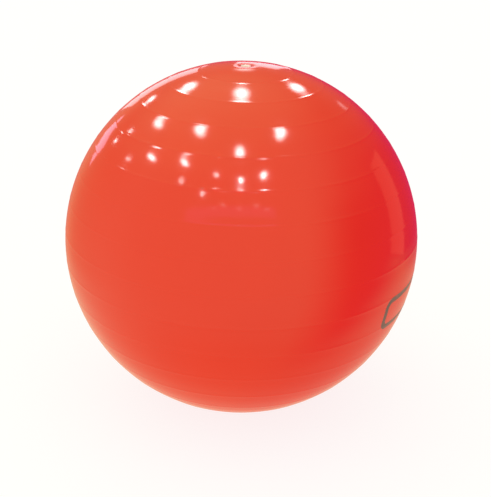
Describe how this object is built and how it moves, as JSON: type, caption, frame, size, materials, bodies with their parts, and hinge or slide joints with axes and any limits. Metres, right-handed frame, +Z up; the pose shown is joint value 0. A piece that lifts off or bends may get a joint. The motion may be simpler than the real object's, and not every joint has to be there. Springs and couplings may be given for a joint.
{
  "type": "gym ball",
  "caption": "Large round inflated exercise ball with raised moulded rings, a small flat resting patch, and a recessed push-in air plug in a soft valve seat at its top.",
  "frame": {"origin": "middle of the flat patch that the ball stands on", "axes": "+Z up along the valve's axis, -Y towards the picture's camera, +X to the right in the picture"},
  "size_m": [0.65, 0.65, 0.6478],
  "materials": {
    "skin": "glossy soft PVC",
    "seat": "satin soft PVC",
    "plug": "satin moulded plastic"
  },
  "bodies": {
    "ball": {"ball_skin": "skin", "valve_seat": "seat"},
    "plug": {"valve_plug": "plug"}
  },
  "joints": [
    {"name": "plug_pull", "type": "slide", "parent": "ball", "child": "plug", "axis": [0, 0, 1], "range_m": [0, 0.03]}
  ]
}
